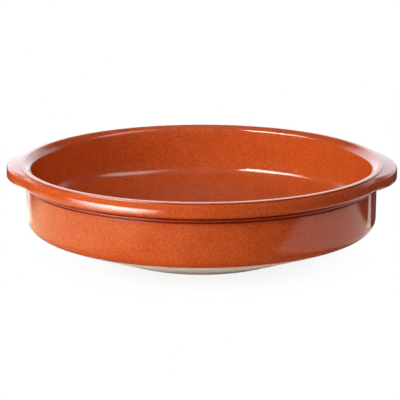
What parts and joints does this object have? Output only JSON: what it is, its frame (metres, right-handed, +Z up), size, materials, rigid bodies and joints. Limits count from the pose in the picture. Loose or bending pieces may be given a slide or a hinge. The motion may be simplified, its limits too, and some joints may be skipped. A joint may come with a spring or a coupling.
{
  "type": "cazuela",
  "caption": "Round, shallow glazed terracotta cooking dish with a raised lip, a banded rim that widens into flat ears, and a sloping underside on a flat foot.",
  "frame": {"origin": "centre of the foot, on the table", "axes": "+Z up along the axis of the dish, +X towards the middle of one ear, -Y towards the viewer of the picture"},
  "size_m": [0.312, 0.294, 0.0745],
  "materials": {
    "glazed_clay": "clear glaze over red clay, with a bare foot"
  },
  "bodies": {
    "root": {"dish": "glazed_clay"}
  },
  "joints": []
}
